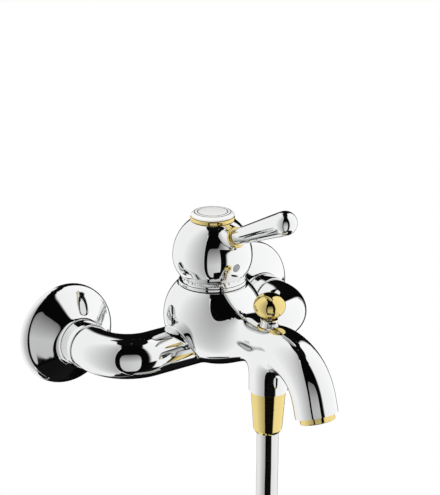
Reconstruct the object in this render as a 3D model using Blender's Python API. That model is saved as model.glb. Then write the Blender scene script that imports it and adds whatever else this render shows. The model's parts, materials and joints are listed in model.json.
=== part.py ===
# Wall mounted bath and shower mixer: two wall inlets, one lever over a ceramic cartridge,
# a pull-up diverter on the spout and a hose that hangs from the outlet below it.
# Metres, +Z up. The origin is on the wall plane, midway between the inlets at their height.
import math

import bmesh
import bpy
from mathutils import Matrix, Vector

# Overall sizes
inlet_spacing = 0.150          # centre to centre of the two inlets
body_out = 0.063               # wall plane to the cartridge axis
spout_reach = 0.1713           # wall plane to the centre of the spout's mouth
mouth_z = -0.0160              # height of the spout's mouth
diverter_out = 0.1232          # wall plane to the diverter and hose outlet axis
clearance = 0.0003             # between pieces that touch
running = 0.0006               # between pieces that slide or turn
wall = 0.0025                  # casting wall

# Inlets, from the wall outwards
rosette_radius = 0.0343
rosette_depth = 0.0193
rosette_sheet = 0.0012
union_radius = 0.0130          # male end of the eccentric union
union_length = 0.0240
shank_radius = 0.0104
shank_length = 0.0180          # behind the wall plane
shank_offset = 0.0070          # eccentricity, upwards
union_bore = 0.0062
washer_thickness = 0.0020
tail_flange = 0.0018
nut_lip = 0.0020
nut_wall = 0.0020
valve_radius = 0.0068
valve_length = 0.0110

# Casting
arm_radius = 0.0145
arm_bend = 0.0258
channel_radius = 0.0060
bulb_radius = 0.0309
bulb_rise = 0.0181             # height of the bulb's widest circle
seam_z = 0.0388                # top face of the casting
seam_radius = 0.02215
neck_radius = 0.0103
spout_radius = 0.0140
mouth_radius = 0.0134
mouth_slope = math.radians(71)
spout_channel = 0.0080
outlet_radius = 0.0124
outlet_end = -0.0159
nipple_radius = 0.0102
nipple_length = 0.0083

# Cartridge, stacked upwards from the chamber's floor
cartridge_radius = 0.0173
chamber_floor = 0.0120
seal_height = 0.0015
base_height = 0.0045
fixed_disc_height = 0.0030
moving_disc_height = 0.0036
rotor_height = 0.0100
rotor_radius = 0.0110
shell_lip = 0.0013
stem_pivot = 0.0340            # height of the pin that the stem tilts on
stem_radius = 0.0040
pin_radius = 0.0015
tilt_range = math.radians(16)

# Handle
bonnet_radius = 0.0208         # sphere about the pin, under the dome's rim
bonnet_flange = 0.0021
bonnet_height = 0.0080         # from the casting's top face to the bonnet's mouth
dome_radius = 0.0260
dome_waist = 0.0206
dome_top = 0.0810
dome_top_radius = 0.0141
boss_radius = 0.0080
shank_width = 0.0080
disc_radius = 0.0144
ring_height = 0.0024
lever_height = 0.0643          # where the lever's axis crosses the cartridge axis
lever_rise = math.radians(24.5)
lever_boss_end = 0.0267        # along the lever's axis
lever_end = 0.0890
lever_thin = 0.0054
lever_thick = 0.0076
lever_ring_radius = 0.0068
lever_ring_width = 0.0024
stud_radius = 0.0030
plug_z = 0.0554
plug_radius = 0.0024
screw_radius = 0.0022

# Diverter
knob_radius = 0.0101
knob_half_height = 0.0082
knob_z = 0.0407
guide_radius = 0.0060
guide_thread = 0.0050
guide_base = 0.0240            # floor of the pocket that the collar sits in
collar_radius = 0.0075
collar_height = 0.0026
rod_radius = 0.0020
piston_radius = 0.0066
seat_z = 0.0010                # top of the seat ring
seat_height = 0.0035
diverter_lift = 0.0080
spring_wire = 0.0005
spring_turns = 5

# Aerator, along the mouth's own axis
aerator_radius = 0.0109
aerator_inside = 0.0075
aerator_outside = 0.0041

# Hose
hose_radius = 0.0070
hose_nut_top = 0.0112
hose_nut_bottom = 0.0092
hose_nut_length = 0.0290
hose_nut_thread = 0.0125
coil_radius = 0.0700           # centre of the coil to the middle of its turns
coil_pitch = 0.0144
coil_turns = 2.25
coil_centre = Vector((0.0, -0.1232, -0.2500))
hose_run = [                   # from the nut down to where the turns begin
    Vector((0.0, -0.1232, -0.0450)),
    Vector((0.0, -0.1232, -0.0800)),
    Vector((-0.0020, -0.1234, -0.1150)),
    Vector((-0.0200, -0.1280, -0.1560)),
    Vector((-0.0480, -0.1345, -0.1920)),
    Vector((-0.0640, -0.1385, -0.2200)),
]

large, medium, small = 28, 20, 12


def clear_scene():
    for item in list(bpy.data.objects):
        bpy.data.objects.remove(item, do_unlink=True)


def material(name, color, roughness, metallic):
    made = bpy.data.materials.new(name)
    made.use_nodes = True
    shader = made.node_tree.nodes["Principled BSDF"]
    shader.inputs["Base Color"].default_value = (*color, 1.0)
    shader.inputs["Roughness"].default_value = roughness
    shader.inputs["Metallic"].default_value = metallic
    return made


finishes = {
    "chrome": ((0.86, 0.87, 0.88), 0.05, 1.0),
    "gold": ((0.90, 0.68, 0.30), 0.10, 1.0),
    "brass": ((0.72, 0.56, 0.30), 0.30, 1.0),
    "steel": ((0.62, 0.62, 0.63), 0.25, 1.0),
    "porcelain": ((0.93, 0.93, 0.92), 0.12, 0.0),
    "disc ceramic": ((0.86, 0.84, 0.80), 0.35, 0.0),
    "rubber": ((0.03, 0.03, 0.03), 0.60, 0.0),
    "white plastic": ((0.85, 0.85, 0.83), 0.40, 0.0),
    "grey plastic": ((0.45, 0.46, 0.47), 0.40, 0.0),
}


def dress(piece, finish):
    color, roughness, metallic = finishes[finish]
    piece.data.materials.clear()
    piece.data.materials.append(material(f"{piece.name} {finish}", color, roughness, metallic))
    return piece


def mesh_object(name, mesh_data, place=Matrix.Identity(4)):
    mesh = bpy.data.meshes.new(name)
    mesh_data.to_mesh(mesh)
    mesh_data.free()
    piece = bpy.data.objects.new(name, mesh)
    bpy.context.scene.collection.objects.link(piece)
    piece.matrix_world = place
    return piece


def turned(name, outline, segments=medium, place=Matrix.Identity(4)):
    # outline is a list of (radius, height); it closes on itself, or along the axis
    shape = bmesh.new()
    points = [shape.verts.new((radius, 0.0, height)) for radius, height in outline]
    for first, second in zip(points, points[1:] + points[:1]):
        if first.co.x > 1e-9 or second.co.x > 1e-9:
            shape.edges.new((first, second))
    bmesh.ops.spin(shape, geom=shape.verts[:] + shape.edges[:], cent=(0, 0, 0), axis=(0, 0, 1),
                   angle=math.tau, steps=segments, use_merge=True)
    bmesh.ops.remove_doubles(shape, verts=shape.verts, dist=1e-7)
    flat_ends = [corner for corner in shape.verts if math.hypot(corner.co.x, corner.co.y) < 1e-7
                 and all(abs(edge.other_vert(corner).co.z - corner.co.z) < 1e-7 for edge in corner.link_edges)]
    bmesh.ops.dissolve_verts(shape, verts=flat_ends)
    bmesh.ops.recalc_face_normals(shape, faces=shape.faces)
    return mesh_object(name, shape, place)


def swept(name, path, radii, sides=medium):
    curve = bpy.data.curves.new(name, "CURVE")
    curve.dimensions = "3D"
    curve.bevel_depth = 1.0
    curve.bevel_resolution = sides // 2 - 2
    curve.use_fill_caps = True
    spline = curve.splines.new("POLY")
    spline.points.add(len(path) - 1)
    for point, place, radius in zip(spline.points, path, radii):
        point.co = (*place, 1.0)
        point.radius = radius
    guide = bpy.data.objects.new(name, curve)
    bpy.context.scene.collection.objects.link(guide)
    mesh = bpy.data.meshes.new_from_object(guide.evaluated_get(bpy.context.evaluated_depsgraph_get()))
    bpy.data.objects.remove(guide, do_unlink=True)
    shape = bmesh.new()
    shape.from_mesh(mesh)
    bmesh.ops.remove_doubles(shape, verts=shape.verts, dist=1e-6)
    bmesh.ops.recalc_face_normals(shape, faces=shape.faces)
    return mesh_object(name, shape)


def block(name, size, centre, turn=Matrix.Identity(4)):
    shape = bmesh.new()
    bmesh.ops.create_cube(shape, size=1.0, matrix=Matrix.Diagonal((*size, 1.0)))
    return mesh_object(name, shape, Matrix.Translation(centre) @ turn)


def combined(base, operation, others):
    # joins or cuts with exact booleans, and keeps only the base
    for other in others:
        step = base.modifiers.new(operation.lower(), "BOOLEAN")
        step.operation = operation
        step.solver = "EXACT"
        step.object = other
    bpy.context.view_layer.update()
    mesh = bpy.data.meshes.new_from_object(base.evaluated_get(bpy.context.evaluated_depsgraph_get()))
    base.modifiers.clear()
    base.data = mesh
    for other in others:
        bpy.data.objects.remove(other, do_unlink=True)
    return base


def finished(piece, finish, holder=None, sharp=35):
    shape = bmesh.new()
    shape.from_mesh(piece.data)
    bmesh.ops.remove_doubles(shape, verts=shape.verts, dist=1e-6)
    shape.to_mesh(piece.data)
    shape.free()
    piece.data.shade_smooth()
    piece.data.set_sharp_from_angle(angle=math.radians(sharp))
    if holder is not None:
        place = piece.matrix_world.copy()
        piece.parent = holder
        piece.matrix_parent_inverse = holder.matrix_world.inverted()
        piece.matrix_world = place
    return dress(piece, finish)


def pivot(name, place):
    holder = bpy.data.objects.new(name, None)
    holder.location = place
    bpy.context.scene.collection.objects.link(holder)
    bpy.context.view_layer.update()
    return holder


def ring(inner, outer, low, high):
    return [(inner, low), (outer, low), (outer, high), (inner, high)]


def rod(radius, low, high):
    return [(0.0, low), (radius, low), (radius, high), (0.0, high)]


def arc(centre, radius, start, end, count):
    # points on a circle in the outline's plane, from one angle to another
    angles = [start + (end - start) * step / count for step in range(count + 1)]
    return [(centre[0] + radius * math.cos(a), centre[1] + radius * math.sin(a)) for a in angles]


def smooth_path(points, per_span):
    # a Catmull-Rom curve through the points
    padded = [2 * points[0] - points[1]] + list(points) + [2 * points[-1] - points[-2]]
    path = []
    for before, start, end, after in zip(padded, padded[1:], padded[2:], padded[3:]):
        for step in range(per_span):
            t = step / per_span
            path.append(0.5 * (2 * start + (end - before) * t
                               + (2 * before - 5 * start + 4 * end - after) * t * t
                               + (3 * start - before - 3 * end + after) * t ** 3))
    return path + [Vector(points[-1])]


def blend(stops, value):
    # linear between (place, size) stops
    for (low, first), (high, second) in zip(stops, stops[1:]):
        if value <= high:
            share = max(0.0, (value - low) / (high - low))
            return first + (second - first) * share
    return stops[-1][1]


outwards = Matrix.Rotation(math.radians(90), 4, "X")       # local Z points away from the wall
body_axis = Matrix.Translation((0.0, -body_out, 0.0))
diverter_axis = Matrix.Translation((0.0, -diverter_out, 0.0))
mouth = Vector((0.0, -spout_reach, mouth_z))
mouth_place = Matrix.Translation(mouth) @ Matrix.Rotation(math.radians(90) + mouth_slope, 4, "X")

washer_start = union_length + clearance
tail_start = washer_start + washer_thickness + clearance
lip_start = tail_start + tail_flange + clearance
arm_start = lip_start + nut_lip + clearance
tail_radius = union_radius - wall + clearance


def inlet(side, label):
    place = Matrix.Translation((side * inlet_spacing / 2, 0.0, 0.0)) @ outwards
    shank_place = Matrix.Translation((0.0, 0.0, shank_offset)) @ place

    union = turned(f"{label}_eccentric_union", rod(union_radius, 0.0030, union_length), medium, place)
    shank = turned("shank", rod(shank_radius, -shank_length, 0.0060), medium, shank_place)
    front_bore = turned("front_bore", rod(union_bore, 0.0045, union_length + wall), small, place)
    back_bore = turned("back_bore", rod(union_bore, -shank_length - wall, 0.0100), small, shank_place)
    combined(union, "UNION", [shank])
    finished(combined(union, "DIFFERENCE", [front_bore, back_bore]), "chrome")

    neck = union_radius + clearance + 0.0024
    flare = [
        (rosette_radius, 0.0), (rosette_radius, 0.0022), (rosette_radius * 0.955, 0.0046),
        (rosette_radius * 0.82, 0.0082), (rosette_radius * 0.66, 0.0118),
        (neck + 0.0023, 0.0152), (neck, rosette_depth),
    ]
    hollow = [(max(radius - rosette_sheet * 1.6, union_radius + clearance), max(0.0, height - rosette_sheet))
              for radius, height in flare[1:-1]]
    hollow = [(rosette_radius - rosette_sheet, 0.0)] + hollow
    hollow += [(union_radius + clearance, rosette_depth - 0.0040), (union_radius + clearance, rosette_depth)]
    finished(turned(f"{label}_rosette", flare + hollow[::-1], large, place), "chrome")

    finished(turned(f"{label}_filter_washer",
                    ring(union_bore, tail_radius, washer_start, washer_start + washer_thickness),
                    medium, place), "rubber")
    nut_inner = union_radius + clearance
    nut_outer = nut_inner + nut_wall
    nut = [
        (nut_inner, rosette_depth + clearance), (nut_outer - 0.0006, rosette_depth + clearance),
        (nut_outer, rosette_depth + 0.0012), (nut_outer, arm_start - clearance - 0.0010),
        (nut_outer - 0.0005, arm_start - clearance), (tail_radius + clearance, arm_start - clearance),
        (tail_radius + clearance, lip_start), (nut_inner, lip_start),
    ]
    finished(turned(f"{label}_union_nut", nut, large, place), "chrome")
    finished(turned(f"{label}_check_valve",
                    ring(valve_radius * 0.5, valve_radius, tail_start + clearance, tail_start + valve_length),
                    small, place), "white plastic")


def arm_path(side, stop):
    # out from the wall, round the elbow and across to the bulb
    half = inlet_spacing / 2
    corner = Vector((side * (half - arm_bend), -(body_out - arm_bend), 0.0))
    path = [Vector((side * half, -arm_start, 0.0))]
    for step in range(8):
        turn = math.radians(90) * step / 7
        path.append(corner + arm_bend * Vector((side * math.cos(turn), -math.sin(turn), 0.0)))
    path.append(Vector((side * stop, -body_out, 0.0)))
    return path


def spout_path():
    drop = Vector((0.0, -math.cos(mouth_slope), -math.sin(mouth_slope)))
    crown = spout_reach - 0.0215
    stations = [
        Vector((0.0, -body_out, 0.0085)),
        Vector((0.0, -body_out - 0.0300, 0.0098)),
        Vector((0.0, -diverter_out, 0.0142)),
        Vector((0.0, -0.5 * (diverter_out + crown), 0.0160)),
        Vector((0.0, -crown, 0.0131)),
        Vector((0.0, -crown - 0.0098, 0.0072)),
        mouth - 0.0145 * drop,
        mouth,
    ]
    return smooth_path(stations, 2)


def spout_radii(path, trim=0.0):
    stops = [
        (body_out, neck_radius + 0.0020), (body_out + 0.0270, neck_radius + 0.0004),
        (body_out + 0.0340, neck_radius), (diverter_out, spout_radius - 0.0004),
        (spout_reach - 0.0250, spout_radius), (spout_reach, mouth_radius),
    ]
    return [blend(stops, -point.y) - trim for point in path]


def casting():
    rise = (seam_z - bulb_rise) / math.sqrt(1 - (seam_radius / bulb_radius) ** 2)
    top_angle = math.asin((seam_z - bulb_rise) / rise)
    angles = [-math.pi / 2 + (math.pi / 2 + top_angle) * step / 11 for step in range(12)]
    bulb = [(max(0.0, bulb_radius * math.cos(a)), bulb_rise + rise * math.sin(a)) for a in angles]
    body = turned("body_casting", bulb + [(0.0, seam_z)], large, body_axis)

    solids, cuts = [], []
    for side in (-1, 1):
        place = Matrix.Translation((side * inlet_spacing / 2, 0.0, 0.0)) @ outwards
        path = arm_path(side, bulb_radius * 0.3)
        solids.append(swept("arm", path, [arm_radius] * len(path), medium))
        tail = [(0.0, tail_start), (union_radius, tail_start), (union_radius, tail_start + tail_flange),
                (tail_radius, tail_start + tail_flange), (tail_radius, arm_start + 0.0010),
                (0.0, arm_start + 0.0010)]
        solids.append(turned("tail", tail, medium, place))
        bore = turned("bore", rod(valve_radius + clearance, tail_start - wall, tail_start + valve_length + clearance),
                      small, place)
        path = arm_path(side, 0.0055)
        channel = swept("channel", path, [channel_radius] * len(path), 12)
        port = turned("port", rod(0.0032, 0.0, chamber_floor + wall), 12,
                      Matrix.Translation((side * 0.0070, -body_out, 0.0)))
        cuts += [bore, channel, port]

    path = spout_path()
    solids.append(swept("spout", path, spout_radii(path), medium))
    outlet = [(0.0, outlet_end - nipple_length), (nipple_radius, outlet_end - nipple_length),
              (nipple_radius, outlet_end), (outlet_radius, outlet_end), (outlet_radius, 0.0080), (0.0, 0.0080)]
    solids.append(turned("outlet", outlet, medium, diverter_axis))
    combined(body, "UNION", solids)

    inner = [point for point in path if -point.y > body_out + 0.0090]
    stops = [(body_out, 0.0062), (diverter_out - 0.0140, 0.0066), (diverter_out - 0.0060, spout_channel),
             (spout_reach, spout_channel + 0.0008)]
    cuts.append(swept("spout_channel", inner, [blend(stops, -point.y) for point in inner], small))
    cuts.append(turned("spout_port", rod(0.0032, inner[0].z, chamber_floor + wall), 12,
                       Matrix.Translation((0.0, inner[0].y - 0.0010, 0.0))))
    cuts.append(turned("mouth_bore", rod(aerator_radius + clearance, -aerator_inside - clearance, wall),
                       medium, mouth_place))
    cuts.append(turned("chamber", rod(cartridge_radius + clearance, chamber_floor, seam_z + wall), large, body_axis))
    cuts.append(turned("diverter_bore", rod(guide_thread + clearance, 0.0142, guide_base + wall), small, diverter_axis))
    cuts.append(turned("collar_pocket", rod(collar_radius + clearance, guide_base, guide_base + 0.0100),
                       medium, diverter_axis))
    cuts.append(turned("outlet_bore", rod(piston_radius + 0.0012, outlet_end - nipple_length - wall, 0.0142),
                       medium, diverter_axis))
    finished(combined(body, "DIFFERENCE", cuts), "chrome")


# Cartridge levels, each on the one below
seal_z = chamber_floor + clearance
base_z = seal_z + seal_height + clearance
fixed_z = base_z + base_height + clearance
moving_z = fixed_z + fixed_disc_height + clearance
rotor_z = moving_z + moving_disc_height + running
rotor_top = rotor_z + rotor_height
shell_top = rotor_top + clearance + shell_lip
shell_shoulder = rotor_top - 0.0060
retainer_z = shell_shoulder + clearance
retainer_top = retainer_z + 0.0048
shell_neck = cartridge_radius - 0.0033
skirt_z = retainer_top + clearance
flange_z = seam_z + clearance
flange_top = flange_z + bonnet_flange


def ports(height, bottom):
    # the two inlets and the outlet through the discs
    made = []
    for x, y in ((-0.0070, 0.0), (0.0070, 0.0), (0.0, -0.0085)):
        made.append(turned("port", rod(0.0030, bottom - wall, bottom + height + wall), 10,
                           Matrix.Translation((x, y - body_out, 0.0)) @ Matrix.Rotation(math.radians(11), 4, "Z")))
    return made


def cartridge(swivel, slider):
    seal = turned("cartridge_base_seal", rod(cartridge_radius - 0.0010, seal_z, seal_z + seal_height), medium, body_axis)
    finished(combined(seal, "DIFFERENCE", ports(seal_height, seal_z)), "rubber")
    base = turned("cartridge_base", rod(cartridge_radius, base_z, base_z + base_height), medium, body_axis)
    finished(combined(base, "DIFFERENCE", ports(base_height, base_z)), "white plastic")
    fixed = turned("ceramic_fixed_disc", rod(cartridge_radius - 0.0040, fixed_z, fixed_z + fixed_disc_height),
                   medium, body_axis)
    finished(combined(fixed, "DIFFERENCE", ports(fixed_disc_height, fixed_z)), "disc ceramic")

    disc_bore = cartridge_radius - 0.0034
    rotor_bore = rotor_radius + clearance
    shell = [
        (disc_bore, fixed_z), (cartridge_radius, fixed_z), (cartridge_radius, shell_shoulder),
        (shell_neck, shell_shoulder), (shell_neck, shell_top), (rotor_radius - 0.0014, shell_top),
        (rotor_radius - 0.0014, rotor_top + clearance), (rotor_bore, rotor_top + clearance),
        (rotor_bore, rotor_z - clearance), (disc_bore, rotor_z - clearance),
    ]
    finished(turned("cartridge_shell", shell, medium, body_axis), "white plastic")
    finished(turned("cartridge_retaining_nut",
                    ring(shell_neck + clearance, cartridge_radius, retainer_z, retainer_top), medium, body_axis), "brass")

    moving = turned("ceramic_moving_disc", rod(rotor_radius - 0.0006, moving_z, moving_z + moving_disc_height),
                    medium, body_axis)
    socket = turned("socket", rod(0.0034, moving_z + 0.0013, moving_z + moving_disc_height + wall), 12, body_axis)
    finished(combined(moving, "DIFFERENCE", [socket]), "disc ceramic", slider)

    rotor = turned("cartridge_rotor", rod(rotor_radius, rotor_z, rotor_top), medium, body_axis)
    slot = block("slot", (2 * stem_radius + 2 * running, 0.0142, rotor_height + 2 * wall),
                 (0.0, -body_out, rotor_z + rotor_height / 2))
    cross = Matrix.Translation((0.0, -body_out, stem_pivot)) @ Matrix.Rotation(math.radians(90), 4, "Y")
    pin_half = rotor_radius - 0.0015
    pin_bore = turned("pin_bore", rod(pin_radius + clearance, -pin_half - clearance, pin_half + clearance), 12, cross)
    finished(combined(rotor, "DIFFERENCE", [slot, pin_bore]), "white plastic", swivel)
    finished(turned("stem_pin", rod(pin_radius, -pin_half, pin_half), 12, cross), "steel", swivel)


def bonnet():
    rise = flange_top - stem_pivot
    mouth_rise = seam_z + bonnet_height - stem_pivot
    outer_start, outer_end = math.asin(rise / bonnet_radius), math.asin(mouth_rise / bonnet_radius)
    inner_radius = bonnet_radius - 0.0015
    inner_start = math.asin((flange_z + 0.0006 - stem_pivot) / inner_radius)
    inner_end = math.asin(mouth_rise / inner_radius)
    centre = (0.0, stem_pivot)
    skirt_inner = cartridge_radius - 0.0012
    outline = [(skirt_inner, skirt_z), (cartridge_radius, skirt_z), (cartridge_radius, flange_z),
               (seam_radius, flange_z), (seam_radius, flange_top - 0.0005), (seam_radius - 0.0005, flange_top)]
    outline += arc(centre, bonnet_radius, outer_start, outer_end, 4)
    outline += arc(centre, inner_radius, inner_end, inner_start, 4)
    outline += [(skirt_inner, flange_z + 0.0006)]
    finished(turned("spherical_bonnet", outline, large, body_axis), "chrome")


lever_place = (Matrix.Translation((0.0, -body_out, lever_height))
               @ Matrix.Rotation(math.radians(90) - lever_rise, 4, "X"))
rim_z = flange_top + clearance
widest_z = 0.5 * (rim_z + dome_top) - 0.0042


def dome_outline():
    # the lower half narrows to the waist and flares to the rim, the upper half closes to the top disc
    low = widest_z - rim_z - 0.0022
    drop = low / math.sqrt(1 - (dome_waist / dome_radius) ** 2)
    high = (dome_top - widest_z) / math.sqrt(1 - (dome_top_radius / dome_radius) ** 2)
    start, end = -math.asin(low / drop), math.asin((dome_top - widest_z) / high)
    outer = [(seam_radius - 0.0004, rim_z), (seam_radius - 0.0004, rim_z + 0.0007)]
    for step in range(15):
        a = start + (end - start) * step / 14
        outer.append((dome_radius * math.cos(a), widest_z + (drop if a < 0 else high) * math.sin(a)))
    return outer


def handle(holder):
    outer = dome_outline()
    clear_radius = bonnet_radius + 0.0005
    rim_inner = math.sqrt(clear_radius ** 2 - (rim_z - stem_pivot) ** 2) + clearance
    inner = [(rim_inner, rim_z), (dome_waist - 0.0011, rim_z + 0.0022), (dome_waist - 0.0008, rim_z + 0.0040)]
    inner += [(radius - wall, height) for radius, height in outer
              if rim_z + 0.0080 < height < dome_top - 0.0100]
    ceiling = dome_top - 0.0090
    boss_low = plug_z - screw_radius - 0.0022
    inner += [(boss_radius, ceiling), (boss_radius, boss_low), (0.0, boss_low)]
    dome = turned("handle_dome", outer + [(0.0, dome_top)] + inner[::-1], large, body_axis)

    cone = turned("lever_boss", [(0.0, 0.0140), (0.0096, 0.0140), (0.0086, 0.0190), (0.0068, 0.0240),
                                 (lever_ring_radius - 0.0006, lever_boss_end), (0.0, lever_boss_end)],
                  medium, lever_place)
    combined(dome, "UNION", [cone])

    # the rim's rear is cut to the plane that the bonnet's flange meets at full tilt
    tilt = Matrix.Rotation(tilt_range, 4, "X")
    centre = Vector((0.0, -body_out, stem_pivot))
    depth = 0.0600
    relief = block("relief", (0.0800, 0.0800, depth),
                   centre + (tilt.to_3x3() @ Vector((0.0, 0.0, rim_z - stem_pivot - depth / 2))), tilt)
    socket = block("socket", (shank_width + 2 * clearance,) * 2 + (0.0200,),
                   (0.0, -body_out, boss_low - wall + 0.0100))
    stud_hole = turned("stud_hole", rod(stud_radius + clearance, 0.0160, lever_boss_end + wall), small, lever_place)
    key_place = Matrix.Translation((0.0, -body_out, plug_z)) @ outwards
    screw_hole = turned("screw_hole", rod(screw_radius + clearance, shank_width / 2, dome_radius * 0.7), 12, key_place)
    plug_hole = turned("plug_hole", rod(plug_radius + clearance, dome_radius * 0.6, dome_radius + wall), 12, key_place)
    recess = turned("recess", rod(disc_radius - 0.0041, dome_top - 0.0040, dome_top + wall), medium, body_axis)
    cuts = [relief, socket, stud_hole, screw_hole, plug_hole, recess]
    finished(combined(dome, "DIFFERENCE", cuts), "chrome", holder)

    ring_z = dome_top + clearance
    spigot = disc_radius - 0.0041 - clearance
    ring_top = ring_z + ring_height
    collar = [
        (spigot - 0.0015, dome_top - 0.0037), (spigot, dome_top - 0.0037), (spigot, ring_z),
        (disc_radius - 0.0005, ring_z), (disc_radius, ring_z + 0.0006), (disc_radius, ring_top - 0.0006),
        (disc_radius - 0.0005, ring_top), (spigot - 0.0015, ring_top),
    ]
    finished(turned("disc_ring", collar, large, body_axis), "gold", holder)
    plate = ring_top + clearance
    button = [
        (0.0, dome_top), (spigot - 0.0015 - clearance, dome_top), (spigot - 0.0015 - clearance, plate),
        (disc_radius - 0.0006, plate), (disc_radius - 0.0003, plate + 0.0006),
        (disc_radius - 0.0006, plate + 0.0018), (disc_radius - 0.0018, plate + 0.0025), (0.0, plate + 0.0030),
    ]
    finished(turned("porcelain_disc", button, large, body_axis), "porcelain", holder)

    finished(turned("index_plug", rod(plug_radius, dome_radius - wall - 0.0012, dome_radius + 0.0002), 12, key_place),
             "grey plastic", holder)
    finished(turned("handle_set_screw", rod(screw_radius, shank_width / 2 + clearance, boss_radius + 0.0008),
                    12, key_place), "steel", holder)

    ring_start = lever_boss_end + clearance
    ring_end = ring_start + lever_ring_width
    band = [(stud_radius + clearance, ring_start), (lever_ring_radius - 0.0006, ring_start),
            (lever_ring_radius, ring_start + 0.0008), (lever_ring_radius, ring_end - 0.0008),
            (lever_ring_radius - 0.0006, ring_end), (stud_radius + clearance, ring_end)]
    finished(turned("lever_ring", band, medium, lever_place), "gold", holder)
    start = ring_end + clearance
    round_at = lever_end - lever_thick
    outline = [(stud_radius + clearance, start + 0.0125), (stud_radius + clearance, start),
               (lever_thin - 0.0006, start), (lever_thin, start + 0.0008), (lever_thick, round_at)]
    outline += arc((0.0, round_at), lever_thick, math.radians(18), math.radians(90), 5)
    outline[-1] = (0.0, lever_end)
    outline += [(0.0, start + 0.0125)]
    finished(turned("lever", outline, medium, lever_place), "chrome", holder)
    finished(turned("lever_stud", rod(stud_radius, 0.0163, start + 0.0120), small, lever_place), "steel", holder)

    tip = moving_z + 0.0018
    waist = rotor_z + 0.0010
    stem = turned("cartridge_stem", [(0.0, tip), (0.0028, tip), (0.0028, waist), (stem_radius, waist),
                                     (stem_radius, shell_top + 0.0030), (0.0, shell_top + 0.0030)], small, body_axis)
    shank_low, shank_high = shell_top + 0.0020, boss_low - wall + 0.0195
    shank = block("shank", (shank_width, shank_width, shank_high - shank_low),
                  (0.0, -body_out, (shank_low + shank_high) / 2))
    cross = Matrix.Translation((0.0, -body_out, stem_pivot)) @ Matrix.Rotation(math.radians(90), 4, "Y")
    pin_hole = turned("pin_hole", rod(pin_radius + clearance, -0.0100, 0.0100), 12, cross)
    combined(stem, "UNION", [shank])
    finished(combined(stem, "DIFFERENCE", [pin_hole]), "brass", holder)


def diverter(holder):
    guide_low = guide_base - 0.0035
    shoulder = guide_base + clearance + collar_height + clearance
    guide_top = knob_z - knob_half_height - running
    bore = rod_radius + clearance
    guide = [(bore, guide_low), (guide_thread, guide_low), (guide_thread, shoulder), (guide_radius, shoulder),
             (guide_radius, guide_top - 0.0004), (guide_radius - 0.0004, guide_top), (bore, guide_top)]
    finished(turned("diverter_guide", guide, medium, diverter_axis), "chrome")
    low = guide_base + clearance
    top = low + collar_height
    collar = [(guide_thread + clearance, low), (collar_radius, low), (collar_radius, top - 0.0010),
              (collar_radius - 0.0010, top), (guide_thread + clearance, top)]
    finished(turned("diverter_collar", collar, medium, diverter_axis), "gold")
    seat_outer = piston_radius + 0.0012 - clearance
    finished(turned("diverter_seat", ring(0.0046, seat_outer, seat_z - seat_height, seat_z), medium, diverter_axis),
             "brass")

    seal_low = seat_z + clearance
    piston_low = seal_low + 0.0015 + clearance
    piston_top = piston_low + 0.0020
    finished(turned("piston_seal", ring(bore, piston_radius, seal_low, seal_low + 0.0015), small, diverter_axis),
             "rubber", holder)
    finished(turned("diverter_piston", ring(bore, piston_radius, piston_low, piston_top), small, diverter_axis),
             "brass", holder)
    head = seal_low - clearance
    pole = [(0.0, head - 0.0013), (0.0034, head - 0.0013), (0.0034, head), (rod_radius, head),
            (rod_radius, knob_z - 0.0010), (0.0, knob_z - 0.0010)]
    finished(turned("diverter_rod", pole, small, diverter_axis), "steel", holder)
    start, end = math.radians(-76), math.radians(90)
    ball = [(bore, knob_z - clearance), (bore, knob_z + knob_half_height * math.sin(start))]
    for step in range(13):
        a = start + (end - start) * step / 12
        ball.append((max(0.0, knob_radius * math.cos(a)), knob_z + knob_half_height * math.sin(a)))
    ball[-1] = (0.0, knob_z + knob_half_height)
    ball.append((0.0, knob_z - clearance))
    finished(turned("diverter_knob", ball, medium, diverter_axis), "gold", holder)

    coil_low, coil_high = piston_top + clearance + spring_wire, guide_low - clearance - spring_wire
    radius = rod_radius + running + spring_wire
    path = []
    for step in range(spring_turns * small + 1):
        a = math.tau * step / small
        height = coil_low + (coil_high - coil_low) * step / (spring_turns * small)
        path.append(Vector((radius * math.cos(a), radius * math.sin(a) - diverter_out, height)))
    finished(swept("diverter_spring", path, [spring_wire] * len(path), 6), "steel")


def aerator():
    inner = -aerator_inside
    outer = aerator_outside
    bore = aerator_radius - 0.0018
    shell = [(bore, inner), (aerator_radius, inner), (aerator_radius, outer - 0.0006),
             (aerator_radius - 0.0006, outer), (bore - 0.0010, outer), (bore - 0.0010, outer - 0.0015),
             (bore, outer - 0.0015)]
    finished(turned("aerator_housing", shell, large, mouth_place), "gold")
    insert = turned("aerator_insert", rod(bore - clearance, inner + 0.0006, outer - 0.0015 - clearance),
                    medium, mouth_place)
    holes = []
    for step in range(6):
        a = math.tau * step / 6
        spot = Matrix.Translation((0.0052 * math.cos(a), 0.0052 * math.sin(a), 0.0))
        holes.append(turned("hole", rod(0.0015, inner - wall, outer + wall), 8, mouth_place @ spot))
    holes.append(turned("hole", rod(0.0015, inner - wall, outer + wall), 8, mouth_place))
    finished(combined(insert, "DIFFERENCE", holes), "white plastic")


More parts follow.
